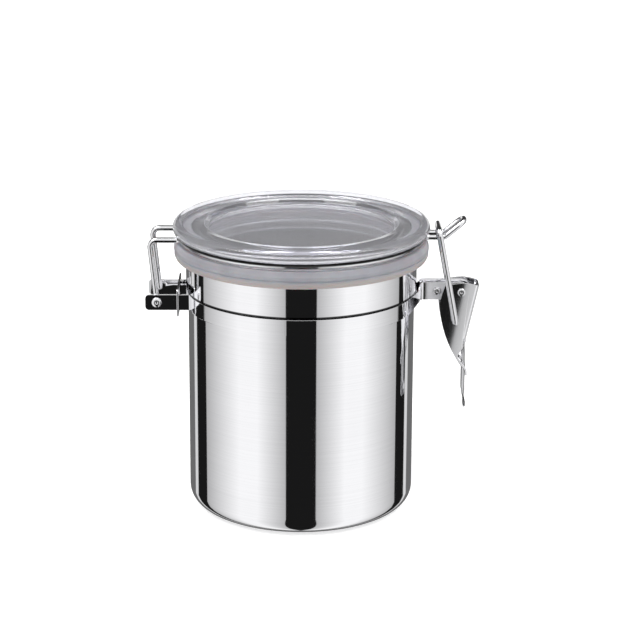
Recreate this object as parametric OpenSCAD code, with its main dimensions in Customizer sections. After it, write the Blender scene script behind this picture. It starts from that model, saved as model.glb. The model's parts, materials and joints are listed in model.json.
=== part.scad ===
// Food canister: a drawn steel cup with a clear lid, a silicone seal, a wire hinge and a toggle latch.
// The canister stands on z = 0 with its axis on Z. The hinge is at -X and the latch at +X.

/* [Canister] */
// Outside radius of the cup
body_r = 42.2; // [38:0.1:50]
// Thickness of the drawn sheet
wall = 0.5; // [0.4:0.05:0.8]
// Outside radius of the rounded bottom corner
corner_r = 6.5; // [4:0.5:10]
// Height of the step where the cup widens into its neck
step_z = 83.4; // [70:0.1:100]
// How much wider in radius the neck is than the cup
neck_flare = 0.8; // [0.6:0.05:1.2]
// Height of the neck from the step to the top of the rolled rim
neck_h = 14.6; // [12:0.1:20]
// Radius of the rolled rim's section
rim_roll_r = 0.9; // [0.7:0.05:1.1]

/* [Lid] */
// Depth of the lid's plug below the rim
plug_depth = 3; // [1:0.25:3]
// Gap in radius between the plug and the neck's inside
plug_gap = 4.5; // [4.5:0.1:6]
// Thickness of the clear moulding at its middle and in its plug
lid_wall = 2; // [1.5:0.1:3]
// Height of the lid's crest above its wire groove
crown_h = 4.6; // [4:0.1:6]
// Radius of the crown's rounded edge
crown_round = 2.5; // [2:0.1:3]
// Radius of the sunk centre of the lid
recess_r = 36; // [30:0.5:38]
// Depth of the sunk centre below the crest
recess_depth = 2.9; // [1.5:0.1:3]
// Thickness of the flange under the wire groove
flange_t = 1.3; // [1:0.1:2]
// How far the crown reaches past the wire groove's wall
crown_reach = 3.85; // [3.5:0.05:5]

/* [Seal] */
// Thickness of the seal's web that lies on the rim
web_t = 2.9; // [2:0.1:4]
// Depth of the seal's skirt below the rim's top
skirt_depth = 2.1; // [1.5:0.1:2.5]
// Thickness of the seal's skirt at its middle
skirt_t = 2.5; // [1.5:0.1:3]
// Radius of the bulge of the seal's outer face
bulge_r = 6.6; // [6:0.1:12]

/* [Lid wire] */
// Diameter of the lid's wire
lid_wire_d = 2.1; // [1.8:0.1:2.4]
// Radius of the wire's bends
wire_bend_r = 2.5; // [2.2:0.1:3]
// Half the distance between the two strands at the latch
strand_y = 3.3; // [3:0.1:4]
// Length of the level strands between the wire ring and the hook
strand_l = 8; // [7.8:0.1:8.2]
// Length of the hook's sloping part
hook_l = 9.4; // [8:0.1:10]
// Slope of the hook
hook_slope = 40; // [38:1:42]
// Diameter of the formed heads on the wire's hinge ends
wire_head_d = 3.6; // [3:0.1:4]

/* [Neck strap] */
// Height of the strap
strap_h = 5.9; // [5:0.1:8]
// Thickness of the strap's sheet
strap_t = 0.5; // [0.4:0.05:0.7]

/* [Hinge] */
// Distance of the hinge pin line from the cup's wall
hinge_out = 11.3; // [10:0.1:14]
// Half the distance between the outer faces of the hinge ears
hinge_y = 10.55; // [9:0.05:12]
// Radius of the bowed end of each hinge ear
ear_end_r = 4.4; // [3.8:0.1:5]
// Lean of the wire legs from the vertical
leg_lean = 6; // [0:0.5:10]
// Distance of the tie plate from the cup's wall
tie_out = 3.2; // [2.5:0.1:5]
// Thickness of the tie plate
tie_t = 0.6; // [0.4:0.05:1]
// Height of the tie plate
tie_h = 10.6; // [8:0.1:12]
// How far the tie plate reaches past the hinge ears
tie_edge = 1.2; // [0.8:0.1:2]

/* [Latch bracket] */
// Distance of the latch pin from the cup's wall
latch_out = 17.4; // [17.2:0.1:17.6]
// Height of the latch pin above the strap's middle
latch_rise = 2.45; // [2.3:0.05:2.6]
// Half the distance between the outer faces of the latch ears
latch_y = 2.75; // [2.5:0.05:3.2]
// Half the height of a latch ear
latch_ear_r = 3.4; // [3:0.1:3.6]
// Distance of the ears' root bend from the cup's wall
root_out = 2.4; // [2.2:0.1:3]
// Distance from the latch pin to the clamp rivet
rivet_back = 9; // [8.5:0.1:9.5]
// Diameter of the clamp rivet
rivet_d = 2; // [1.6:0.1:2.4]
// Diameter of the clamp rivet's heads
rivet_head_d = 3.1; // [2.8:0.1:3.6]
// Outside diameter of the spacer tube between the latch ears
spacer_d = 4; // [3.4:0.1:5]

/* [Latch lever] */
// Width of the lever across its two flanges
lever_w = 9.6; // [9.2:0.1:10.4]
// Thickness of the lever's sheet
lever_t = 0.8; // [0.6:0.05:1]
// Height of the lever above the latch pin
lever_top = 3.6; // [3.5:0.1:4.2]
// Depth of the flanges' points below the latch pin
flange_drop = 25.5; // [24:0.5:27]
// Length of the finger tab below the flanges
tab_l = 20.2; // [16:0.2:22]
// Width of the finger tab
tab_w = 7.4; // [6:0.1:7.4]
// Diameter of the latch pin's middle
pin_d = 3.2; // [2.8:0.1:3.6]
// Diameter of the latch pin where it passes through the flanges
pin_end_d = 2.2; // [1.8:0.1:2.4]
// Diameter of the latch pin's heads
pin_head_d = 3; // [2.8:0.1:3.6]
// Thickness of the latch pin's low heads
pin_head_t = 0.4; // [0.3:0.05:0.6]

/* [Toggle bail] */
// Diameter of the bail's wire
bail_d = 2.3; // [2:0.1:2.4]
// Distance of the bail's lower end below the latch pin
bail_drop = 11.5; // [11.4:0.1:11.6]
// Distance of the bail's lower end toward the cup from the latch pin
bail_in = 2.1; // [2:0.05:2.2]
// Height of the cross wire above the strands' centre line
bar_rise = 3.2; // [3.1:0.05:3.4]
// Distance of the cross wire toward the cup from the latch pin
bar_in = 8.8; // [8.7:0.1:9]

/* [Clearances] */
// Gap between pieces that are pressed or clipped together
fit = 0.05; // [0.02:0.01:0.1]
// Gap in radius around a pin or a wire end that turns in a hole
pin_gap = 0.06; // [0.03:0.01:0.1]
// Gap between faces that move past each other
run_gap = 0.2; // [0.15:0.05:0.3]
// Gap between the seal and the rim
seal_gap = 0.3; // [0.2:0.05:0.4]

/* [Hidden] */
$fn = 96;
eps = 0.01;
wire_sides = 12;
bend_step = 12;
ring_step = 5;

// Cup
neck_r = body_r + neck_flare;
neck_in = neck_r - wall;
rim_z = step_z + neck_h;
roll_mid = neck_in + rim_roll_r;
roll_out = neck_in + 2 * rim_roll_r;

// Strap and hinge
strap_in = body_r + fit;
strap_mid = strap_in + strap_t / 2;
strap_top = step_z - fit;
strap_low = strap_top - strap_h;
hinge_x = -(body_r + hinge_out);
hinge_z = strap_top - strap_h / 2;
hinge_mid_y = hinge_y - strap_t / 2;
tie_x = -(body_r + tie_out + tie_t / 2);

// Lid, from the rim up
seal_z = rim_z + seal_gap;
hub_lip_r = neck_in - 1;
hub_r = hub_lip_r - 0.5;
hub_lip_t = 0.9;
plug_r = neck_in - plug_gap;
flange_low = seal_z + web_t;
flange_top = flange_low + flange_t;
groove_r = roll_mid + 0.5;
flange_r = groove_r + 0.7;
groove_h = lid_wire_d + 0.5;
crown_low = flange_top + groove_h;
crest_z = crown_low + crown_h;
crown_r = groove_r + crown_reach;
recess_z = crest_z - recess_depth;
recess_slope = 1.4;
crown_dip = 0.4;

// Seal
skirt_in = roll_out + 0.6;
skirt_out = skirt_in + skirt_t;
skirt_low = rim_z - skirt_depth;
seal_top = flange_top - 0.15;
bulge_x = skirt_out - bulge_r;
bulge_z = (skirt_low + seal_top) / 2;
bulge_angle = asin((seal_top - bulge_z) / bulge_r);

// Lid wire
wire_z = flange_top + groove_h / 2;
ring_r = groove_r + fit + lid_wire_d / 2;
leg_y = hinge_y - strap_t - run_gap - lid_wire_d / 2;
leg_top_x = hinge_x - (wire_z - hinge_z) * tan(leg_lean);
hook_x = ring_r + strand_l;
hook_end_x = hook_x + hook_l * cos(hook_slope);
hook_end_z = wire_z + hook_l * sin(hook_slope);
hook_round = strand_y - 0.4;
wire_head_t = 0.7;
wire_end_y = hinge_y + fit;
end_bend_r = lid_wire_d / 2 + run_gap;

// Latch
pin_x = body_r + latch_out;
pin_z = hinge_z + latch_rise;
latch_mid_y = latch_y - strap_t / 2;
root_x = body_r + root_out;
root_d = norm([root_x, latch_mid_y]);
gusset_a = -atan2(latch_mid_y, root_x) - acos(strap_mid / root_d);
rivet_x = pin_x - rivet_back;
rivet_head_t = 0.7;
lever_in = lever_w / 2 - lever_t; // to the flanges' inner faces
bail_x = pin_x - bail_in;
bail_z = pin_z - bail_drop;
bail_y = lever_w / 2 + fit + pin_head_t + run_gap + bail_d / 2;
bar_x = pin_x - bar_in;
bar_z = wire_z + bar_rise;
bail_bend_r = bail_d / 2 + run_gap - 0.05;
bail_end_y = lever_in - 0.9;

function unit(v) = v / norm(v);
function arc(x, y, r, from, to, steps) =
    [for (i = [0:steps]) [x + r * cos(from + (to - from) * i / steps), y + r * sin(from + (to - from) * i / steps)]];
function mirrored(points) = [for (i = [len(points) - 1:-1:0]) [points[i].x, -points[i].y, points[i].z]];

// The points of a wire's bend at corner p, between the points before and after it
function bend(before, p, after, r) =
    let (
        u = unit(before - p), v = unit(after - p), open = acos(u * v),
        c = p + unit(u + v) * r / sin(open / 2),
        a = unit(p + u * r / tan(open / 2) - c),
        b = unit(cross(cross(a, p + v * r / tan(open / 2) - c), a)),
        steps = ceil((180 - open) / bend_step)
    )
    [for (i = [0:steps]) c + r * (a * cos((180 - open) * i / steps) + b * sin((180 - open) * i / steps))];

// A route through corner points, with a bend radius for each inner corner
function route(corners, radii) = [
    corners[0],
    for (i = [1:len(corners) - 2]) each bend(corners[i - 1], corners[i], corners[i + 1], radii[i - 1]),
    corners[len(corners) - 1]
];

// One closed tube swept along a route, its section turned as little as possible
module wire(path, d) {
    last = len(path) - 1;
    ways = [for (i = [0:last]) unit(path[min(i + 1, last)] - path[max(i - 1, 0)])];
    first_side = unit(cross(ways[0], [0.31, 0.42, 0.85]));
    sides = [
        for (i = 0, n = first_side; i <= last; i = i + 1, n = i <= last ? unit(n - ways[i] * (n * ways[i])) : n) n
    ];
    rim = [for (i = [0:last]) for (k = [0:wire_sides - 1])
        path[i] + (d / 2 - eps) * (sides[i] * cos(360 * k / wire_sides)
            + cross(ways[i], sides[i]) * sin(360 * k / wire_sides))];
    polyhedron(rim, concat(
        [[for (k = [0:wire_sides - 1]) k]],
        [for (i = [0:last - 1]) for (k = [0:wire_sides - 1])
            let (a = i * wire_sides + k, b = i * wire_sides + (k + 1) % wire_sides)
            each [[a, a + wire_sides, b], [b, a + wire_sides, b + wire_sides]]],
        [[for (k = [wire_sides - 1:-1:0]) last * wire_sides + k]]
    ));
}

module cup_shape(r_low, r_neck, low, corner, top) {
    rotate_extrude()
        polygon(concat(
            [[0, low]],
            arc(r_low - corner, low + corner, corner, -90, 0, 12),
            [[r_low, step_z], [r_neck, step_z + (r_neck - r_low) * 0.75], [r_neck, top], [0, top]]
        ));
}

module canister_body() {
    color("silver") {
        difference() {
            cup_shape(body_r, neck_r, 0, corner_r, rim_z - rim_roll_r);
            cup_shape(body_r - wall, neck_in, wall, corner_r - wall, rim_z + 1);
        }
        translate([0, 0, rim_z - rim_roll_r])
            rotate_extrude()
                translate([roll_mid, 0])
                    circle(r = rim_roll_r, $fn = 48);
    }
}

// Plan of one strap half: hinge ear, band around the cup, tangent run to the latch ear
function strap_path() = concat(
    [[hinge_x - ear_end_r, -hinge_mid_y]],
    arc(0, 0, strap_mid, 180 + asin(hinge_mid_y / strap_mid), 360 + gusset_a, 48),
    [[root_x, -latch_mid_y], [pin_x + latch_ear_r, -latch_mid_y]]
);

function way(path, i) = let (k = min(max(i, 0), len(path) - 2)) unit(path[k + 1] - path[k]);
function left_of(v) = [-v.y, v.x];
function beside(path, i, off) =
    let (a = left_of(way(path, i - 1)), m = unit(a + left_of(way(path, i))))
    path[i] + m * off / (m * a);

module strap_plan() {
    path = strap_path();
    last = len(path) - 1;
    polygon(concat(
        [for (i = [0:last]) beside(path, i, strap_t / 2)],
        [for (i = [last:-1:0]) beside(path, i, -strap_t / 2)]
    ));
}

// Side outline of the strap: bowed at the hinge, raised and rounded at the latch
module strap_side() {
    bow = asin(strap_h / 2 / ear_end_r);
    rise_from = [strap_mid * cos(gusset_a), strap_low];
    rise_to = [root_x, pin_z - latch_ear_r];
    polygon(concat(
        arc(hinge_x, hinge_z, ear_end_r, 180 - bow, 180 + bow, 8),
        [rise_from, rise_to],
        arc(pin_x, pin_z, latch_ear_r, -90, 90, 16),
        [[root_x, pin_z + latch_ear_r], [root_x + (rise_from.x - root_x) / 4, strap_top]]
    ));
}

module strap_half() {
    difference() {
        intersection() {
            linear_extrude(pin_z + 2 * latch_ear_r) strap_plan();
            rotate([90, 0, 0]) linear_extrude(2 * body_r) strap_side();
        }
        translate([hinge_x, 0, hinge_z])
            rotate([90, 0, 0])
                cylinder(d = lid_wire_d + 2 * pin_gap, h = hinge_y + 1);
        translate([pin_x, 0, pin_z])
            rotate([90, 0, 0])
                cylinder(d = pin_d + 2 * pin_gap, h = latch_y + 1);
        translate([rivet_x, 0, pin_z])
            rotate([90, 0, 0])
                cylinder(d = rivet_d + 2 * fit, h = latch_y + 1);
    }
}

module strap_front() {
    color("gainsboro") strap_half();
}

module strap_back() {
    color("gainsboro") mirror([0, 1, 0]) strap_half();
}

module hinge_tie_plate() {
    color("lightgray")
        difference() {
            translate([tie_x - tie_t / 2, -hinge_y - tie_edge, hinge_z - tie_h / 2])
                cube([tie_t, 2 * (hinge_y + tie_edge), tie_h]);
            for (side = [-1, 1])
                translate([tie_x - tie_t, side * hinge_mid_y - strap_t / 2 - fit, strap_low - fit])
                    cube([2 * tie_t, strap_t + 2 * fit, strap_h + 2 * fit]);
        }
}

module clamp_rivet() {
    color("dimgray") {
        translate([rivet_x, latch_y + fit, pin_z])
            rotate([90, 0, 0])
                cylinder(d = rivet_d, h = 2 * (latch_y + fit));
        for (side = [-1, 1])
            translate([rivet_x, side * (latch_y + fit + rivet_head_t / 2), pin_z])
                rotate([90, 0, 0])
                    cylinder(d = rivet_head_d, h = rivet_head_t, center = true);
    }
}

// A tube along Y around the given point, from y_low to y_high
module tube_y(x, z, d_out, d_in, y_low, y_high) {
    translate([x, y_high, z])
        rotate([90, 0, 0])
            difference() {
                cylinder(d = d_out, h = y_high - y_low);
                translate([0, 0, -1]) cylinder(d = d_in, h = y_high - y_low + 2);
            }
}

module clamp_spacer() {
    color("gray")
        tube_y(rivet_x, pin_z, spacer_d, rivet_d + 2 * fit, strap_t - latch_y, latch_y - strap_t);
}

module lid_cover() {
    color([0.72, 0.72, 0.78, 0.6])
        rotate_extrude()
            polygon(concat(
                [[0, recess_z - lid_wall], [plug_r - lid_wall, recess_z - lid_wall]],
                [[plug_r - lid_wall, rim_z - plug_depth], [plug_r, rim_z - plug_depth], [plug_r, seal_z]],
                [[hub_lip_r, seal_z], [hub_lip_r, seal_z + hub_lip_t], [hub_r, seal_z + hub_lip_t]],
                [[hub_r, flange_low], [flange_r, flange_low], [flange_r, flange_top]],
                [[groove_r, flange_top], [groove_r, crown_low]],
                arc(crown_r - crown_round, crest_z - crown_round, crown_round, -52, 90, 12),
                [[recess_r + 2 * recess_slope, crest_z - crown_dip]],
                [[recess_r, crest_z - 2 * crown_dip], [recess_r - recess_slope, recess_z], [0, recess_z]]
            ));
}

module lid_gasket() {
    color([0.85, 0.86, 0.87])
        rotate_extrude()
            polygon(concat(
                [[hub_r + fit, flange_low - fit], [hub_r + fit, seal_z + hub_lip_t + fit]],
                [[hub_lip_r + fit, seal_z + hub_lip_t + fit], [hub_lip_r + fit, seal_z], [skirt_in, seal_z]],
                [[skirt_in, skirt_low]],
                arc(bulge_x, bulge_z, bulge_r, -bulge_angle, bulge_angle, 10),
                [[flange_r + fit, seal_top], [flange_r + fit, flange_low - fit]]
            ));
}

// Where the wire ring turns outward into a straight lane at y = -lane
function turn_x(lane) = sqrt(pow(ring_r + wire_bend_r, 2) - pow(lane + wire_bend_r, 2));
function turn_a(lane) = asin((lane + wire_bend_r) / (ring_r + wire_bend_r));
function lane_turn(lane) = [for (p = arc(turn_x(lane), -lane - wire_bend_r, wire_bend_r,
    180 - turn_a(lane), 90, ceil((90 - turn_a(lane)) / bend_step))) [p.x, p.y, wire_z]];

// From the hinge, round the front of the lid, to the middle of the hook
function lid_wire_route() =
    let (
        leg_turn = lane_turn(leg_y),
        ring = arc(0, 0, ring_r, 180 + turn_a(leg_y) + ring_step, 360 - turn_a(strand_y) - ring_step, 32)
    )
    concat(
        [[hinge_x, -wire_end_y - wire_head_t / 2, hinge_z]],
        bend([hinge_x, -wire_end_y, hinge_z], [hinge_x, -leg_y, hinge_z], [leg_top_x, -leg_y, wire_z], end_bend_r),
        bend([hinge_x, -leg_y, hinge_z], [leg_top_x, -leg_y, wire_z], [-ring_r, -leg_y, wire_z], wire_bend_r),
        [for (i = [len(leg_turn) - 1:-1:0]) [-leg_turn[i].x, leg_turn[i].y, wire_z]],
        [for (p = ring) [p.x, p.y, wire_z]],
        lane_turn(strand_y),
        bend([ring_r, -strand_y, wire_z], [hook_x, -strand_y, wire_z], [hook_end_x, -strand_y, hook_end_z],
            wire_bend_r),
        bend([hook_x, -strand_y, wire_z], [hook_end_x, -strand_y, hook_end_z], [hook_end_x, 0, hook_end_z],
            hook_round)
    );

module wire_end_pin() {
    translate([hinge_x, -leg_y - end_bend_r, hinge_z])
        rotate([90, 0, 0])
            cylinder(d = lid_wire_d, h = wire_end_y + wire_head_t - leg_y - end_bend_r);
    translate([hinge_x, -wire_end_y, hinge_z])
        rotate([90, 0, 0])
            cylinder(d = wire_head_d, h = wire_head_t);
}

module lid_wire() {
    half = lid_wire_route();
    color("lightgray") {
        wire(concat(half, mirrored(half)), lid_wire_d);
        wire_end_pin();
        mirror([0, 1, 0]) wire_end_pin();
    }
}

// Side outline of the lever, with the latch pin at its origin
lever_heel = [6.7, lever_top - 1.2];
lever_back = [[-6.1, lever_top - 0.9], [-3, lever_top - 0.4], [0.9, lever_top]];
web_low = [2.2, -flange_drop + 7.4];
flange_point = [-1.75, -flange_drop];
belly_r = 44;
belly_from = [-8.1, -3.8];
belly_mid = (belly_from + flange_point) / 2;
belly_half = norm(belly_from - flange_point) / 2;
belly_side = unit([flange_point.y - belly_from.y, belly_from.x - flange_point.x]);
belly_c = belly_mid - belly_side * sqrt(pow(belly_r, 2) - pow(belly_half, 2));
belly_a0 = atan2(belly_from.y - belly_c.y, belly_from.x - belly_c.x);
belly_a1 = atan2(flange_point.y - belly_c.y, flange_point.x - belly_c.x);
belly_turn = (belly_a1 - belly_a0 + 360) % 360;

// The flange's tip runs on as a narrow curl past the edge of the tab
tip_curl = [
    [1.8, -3], [3.5, -4.9], [3.7, -7.1], [4.4, -7.1], [4.25, -4.5], [2.5, -2.4], [0.65, 0.3], [1.35, 1.2], [2.95, 4.4]
];

function lever_side() = concat(
    arc(belly_c.x, belly_c.y, belly_r, belly_a0, belly_a0 + belly_turn, 14),
    [for (p = tip_curl) flange_point + p],
    [web_low, lever_heel, lever_back[2], lever_back[1], lever_back[0]]
);

// Draws a side outline as a plate of the given width across Y, about the latch pin
module across_y(width) {
    translate([pin_x, width / 2, pin_z])
        rotate([90, 0, 0])
            linear_extrude(width)
                children();
}

// A sheet seen on edge: its outer line, and its inner line one gauge nearer to the cup
module on_edge(outer) {
    polygon(concat(outer, [for (i = [len(outer) - 1:-1:0]) outer[i] - [lever_t, 0]]));
}

module latch_lever() {
    tab_line = [
        web_low + [0.22, 1], web_low, [1.5, web_low.y - 5.8], [1.6, -flange_drop - 0.59 * tab_l],
        [1.8, -flange_drop - 0.73 * tab_l], [2.4, -flange_drop - 0.87 * tab_l], [2.4, -flange_drop - tab_l]
    ];
    color("silver")
        difference() {
            union() {
                difference() {
                    across_y(lever_w) polygon(lever_side());
                    across_y(2 * lever_in) translate([-20, -60]) square([40, 80]);
                }
                across_y(lever_w) on_edge([lever_heel, web_low]);
                across_y(tab_w) on_edge(tab_line);
            }
            translate([pin_x, lever_w, pin_z])
                rotate([90, 0, 0])
                    cylinder(d = pin_end_d + 2 * fit, h = 2 * lever_w);
            translate([bail_x, lever_w, bail_z])
                rotate([90, 0, 0])
                    cylinder(d = bail_d + 2 * pin_gap, h = 2 * lever_w);
        }
}

module latch_pin() {
    color("gray") {
        tube_half = lever_in - fit;
        translate([pin_x, tube_half, pin_z])
            rotate([90, 0, 0])
                cylinder(d = pin_d, h = 2 * tube_half);
        translate([pin_x, lever_w / 2 + fit, pin_z])
            rotate([90, 0, 0])
                cylinder(d = pin_end_d, h = lever_w + 2 * fit);
        for (side = [-1, 1])
            translate([pin_x, side * (lever_w / 2 + fit + pin_head_t / 2), pin_z])
                rotate([90, 0, 0])
                    cylinder(d = pin_head_d, h = pin_head_t, center = true);
    }
}

module latch_spacers() {
    color("gray")
        for (side = [0, 1])
            mirror([0, side, 0])
                tube_y(pin_x, pin_z, spacer_d, pin_d + 2 * fit, latch_y + run_gap, lever_in - run_gap);
}

module toggle_bail() {
    pin_start = bail_y - bail_bend_r;
    corners = [[bail_x, -bail_end_y - eps, bail_z], [bail_x, -bail_y, bail_z], [bar_x, -bail_y, bar_z]];
    color("lightgray") {
        wire(
            route(concat(corners, mirrored(corners)), [bail_bend_r, wire_bend_r, wire_bend_r, bail_bend_r]),
            bail_d
        );
        for (side = [0, 1])
            mirror([0, side, 0])
                translate([bail_x, pin_start, bail_z])
                    rotate([90, 0, 0])
                        cylinder(d = bail_d, h = pin_start - bail_end_y);
    }
}

canister_body();
strap_front();
strap_back();
hinge_tie_plate();
clamp_rivet();
clamp_spacer();
lid_cover();
lid_gasket();
lid_wire();
latch_lever();
latch_pin();
latch_spacers();
toggle_bail();
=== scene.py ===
# %% [markdown]
# # A food canister with a clear lid and a toggle latch
# A lunch-counter classic: a drawn steel cup, a clear lid on a silicone seal, and a wire that hinges
# on one side and is pulled down by a latch on the other. The solids and the joints of the canister
# already exist as a fixed frame, in metres, standing on z = 0 with the hinge at -X, the latch at +X
# and the near side at -Y. This lesson dresses that frame: each piece is modelled again finely enough
# for a mirror finish, and gets a material made of nodes.

# %% Load the fixed frame
import json
import math

import bmesh
import bpy
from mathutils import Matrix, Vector


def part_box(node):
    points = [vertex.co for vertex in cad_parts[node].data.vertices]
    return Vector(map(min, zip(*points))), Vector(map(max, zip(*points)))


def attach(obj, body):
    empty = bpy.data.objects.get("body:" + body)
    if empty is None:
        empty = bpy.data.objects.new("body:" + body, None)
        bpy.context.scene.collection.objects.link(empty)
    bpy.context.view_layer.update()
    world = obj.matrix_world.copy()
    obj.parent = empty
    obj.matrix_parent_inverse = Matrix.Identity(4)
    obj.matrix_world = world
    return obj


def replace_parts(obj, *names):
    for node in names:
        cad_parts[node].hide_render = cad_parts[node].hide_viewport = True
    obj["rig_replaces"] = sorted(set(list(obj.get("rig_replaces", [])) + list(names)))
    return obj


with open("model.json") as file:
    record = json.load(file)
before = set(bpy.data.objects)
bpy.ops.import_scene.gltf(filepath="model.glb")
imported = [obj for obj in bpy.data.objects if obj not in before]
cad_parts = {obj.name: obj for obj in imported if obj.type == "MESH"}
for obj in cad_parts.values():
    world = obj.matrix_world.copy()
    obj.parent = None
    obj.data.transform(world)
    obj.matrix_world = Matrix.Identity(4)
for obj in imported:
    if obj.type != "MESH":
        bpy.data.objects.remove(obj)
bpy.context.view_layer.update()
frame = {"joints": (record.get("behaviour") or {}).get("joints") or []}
MM = 0.001

# %% [markdown]
# ## Camera
# The view looks along +Y and down onto the lid from 0.9 m away, through a long lens that keeps the
# walls of the cup nearly upright. The sensor is 36 mm wide, so the focal length of 133 mm gives a
# frame in which the whole canister covers about half of the width. A small shift slides the picture
# without turning the lens, so that the canister stands a little left of the middle and below it.

# %% The camera
CAMERA_PLACE = (0, -0.850, 0.3304)
CAMERA_TILT, CAMERA_ROLL = math.radians(73.48), math.radians(-0.15)
bpy.ops.object.camera_add(location=CAMERA_PLACE, rotation=(CAMERA_TILT, CAMERA_ROLL, 0))
camera = bpy.context.object
camera.name = "Camera"
camera.data.lens = 133.2
camera.data.sensor_width = 36
camera.data.shift_x = 0.0265
camera.data.shift_y = -0.031
camera.data.clip_end = 20
bpy.context.scene.camera = camera
print("camera at", [round(v, 3) for v in camera.location], "lens", camera.data.lens, "mm")

# %% [markdown]
# ## Helpers for modelling by hand
# Every piece below starts as a primitive and is shaped by the same few moves: draw an outline by
# extruding a single vertex from point to point, spin it round an axis, extrude an edge, bevel a
# corner. An operator acts on everything that is selected, so each piece starts with nothing
# selected and picks its own vertices, edges or faces by their place.


# %% Start and finish of a piece
def clear_selection():
    """Leaves no object selected, so that the next operator touches only the next piece."""
    bpy.ops.object.select_all(action="DESELECT")


def select_everything():
    """Selects all of the open piece."""
    bpy.ops.mesh.select_all(action="SELECT")


def start_piece(name):
    """Names the new primitive and opens it for editing, at the origin and all selected."""
    bpy.context.object.name = bpy.context.object.data.name = name
    bpy.ops.object.transform_apply(location=True, rotation=True, scale=True)
    bpy.ops.object.mode_set(mode="EDIT")
    select_everything()


def finish_piece(body, stands_for, smooth_below):
    """Shades the open piece smooth except at its sharp edges, and hands it to the frame."""
    bpy.ops.object.mode_set(mode="OBJECT")
    piece = bpy.context.object
    bpy.ops.object.shade_smooth_by_angle(angle=math.radians(smooth_below))
    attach(piece, body)
    if stands_for:
        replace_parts(piece, *stands_for)
    print(piece.name, "faces:", len(piece.data.polygons), "size in mm:",
          [round(side / MM, 1) for side in piece.dimensions])
    return piece


def pick(kind, test):
    """Selects only the vertices, edges or faces whose middle passes the test."""
    bpy.ops.mesh.select_all(action="DESELECT")
    bpy.ops.mesh.select_mode(type=kind)
    mesh = bmesh.from_edit_mesh(bpy.context.object.data)
    parts = {"VERT": mesh.verts, "EDGE": mesh.edges, "FACE": mesh.faces}[kind]
    for part in parts:
        corners = [part] if kind == "VERT" else part.verts
        middle = sum((v.co for v in corners), Vector()) / len(corners)
        if test(middle, part):
            part.select = True
    mesh.select_flush_mode()
    bmesh.update_edit_mesh(bpy.context.object.data)


def modify(kind, **settings):
    """Adds a modifier to the open piece and applies it."""
    bpy.ops.object.mode_set(mode="OBJECT")
    piece = bpy.context.object
    modifier = piece.modifiers.new(kind.title(), kind)
    for name, value in settings.items():
        setattr(modifier, name, value)
    bpy.ops.object.modifier_apply(modifier=modifier.name)
    bpy.ops.object.mode_set(mode="EDIT")


# %% Drawing an outline and turning it on a lathe
EASE = 0.06  # how far before and after an arc an extra point stands, in radii of the arc


def rounded(corners, steps=8):
    """Rounds a chain of (across, height, rounding) corners in mm; rounding 0 keeps a corner sharp."""
    flat = [Vector(c[:2]) for c in corners]
    points = [flat[0]]
    for before, here, after, corner in zip(flat, flat[1:], flat[2:], corners[1:]):
        r = corner[2]
        if r == 0:
            points.append(here)
            continue
        to_before, to_after = (before - here).normalized(), (after - here).normalized()
        half = to_before.angle(to_after) / 2
        reach = r / math.tan(half)
        middle = here + (to_before + to_after).normalized() * r / math.sin(half)
        first, last = here + to_before * reach, here + to_after * reach
        count = max(2, round(steps * (math.pi - 2 * half) / (math.pi / 2)))
        turn = (first - middle).angle_signed(last - middle)
        start = math.atan2(first.y - middle.y, first.x - middle.x)
        points.append(first + to_before * EASE * r)
        for i in range(count + 1):
            angle = start - turn * i / count
            points.append(middle + Vector((math.cos(angle), math.sin(angle))) * r)
        points.append(last + to_after * EASE * r)
    return points + [flat[-1]]


def draw_line(name, points):
    """Draws a chain of edges by extruding one vertex from point to point, all in mm."""
    clear_selection()
    bpy.ops.mesh.primitive_plane_add(size=MM)
    start_piece(name)
    bpy.ops.mesh.merge(type="CENTER")
    places = [Vector(p) * MM for p in points]
    bpy.ops.transform.translate(value=places[0])
    for here, there in zip(places, places[1:]):
        bpy.ops.mesh.extrude_region_move(TRANSFORM_OT_translate={"value": there - here})


def weld():
    """Merges points of the open piece that coincide."""
    select_everything()
    bpy.ops.mesh.remove_doubles(threshold=0.000002)


def point_outwards():
    """Turns all faces of the open piece outwards."""
    select_everything()
    bpy.ops.mesh.normals_make_consistent(inside=False)


def lathe(name, outline, steps=192, axis="Z", centre=(0, 0, 0)):
    """Spins an outline of (radius, height) points, in mm, once round an axis through the centre."""
    centre = Vector(centre)
    if axis == "Z":
        points = [centre + Vector((r, 0, h)) for r, h in outline]
    else:
        points = [centre + Vector((r, h, 0)) for r, h in outline]
    draw_line(name, points)
    select_everything()
    spin_axis = (0, 0, 1) if axis == "Z" else (0, 1, 0)
    bpy.ops.mesh.spin(steps=steps, angle=math.tau, center=centre * MM, axis=spin_axis)
    weld()
    point_outwards()


# %% [markdown]
# ## Materials as expressions
# A procedural material is arithmetic on positions. Wiring that by hand is slow to read, so a small
# class wraps a socket: a plus or a star between two wrapped sockets adds the Math node that a hand
# would add. Everything else, such as noise or a colour ramp, comes from one method that takes the
# node's type, its settings and its inputs.


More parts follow.
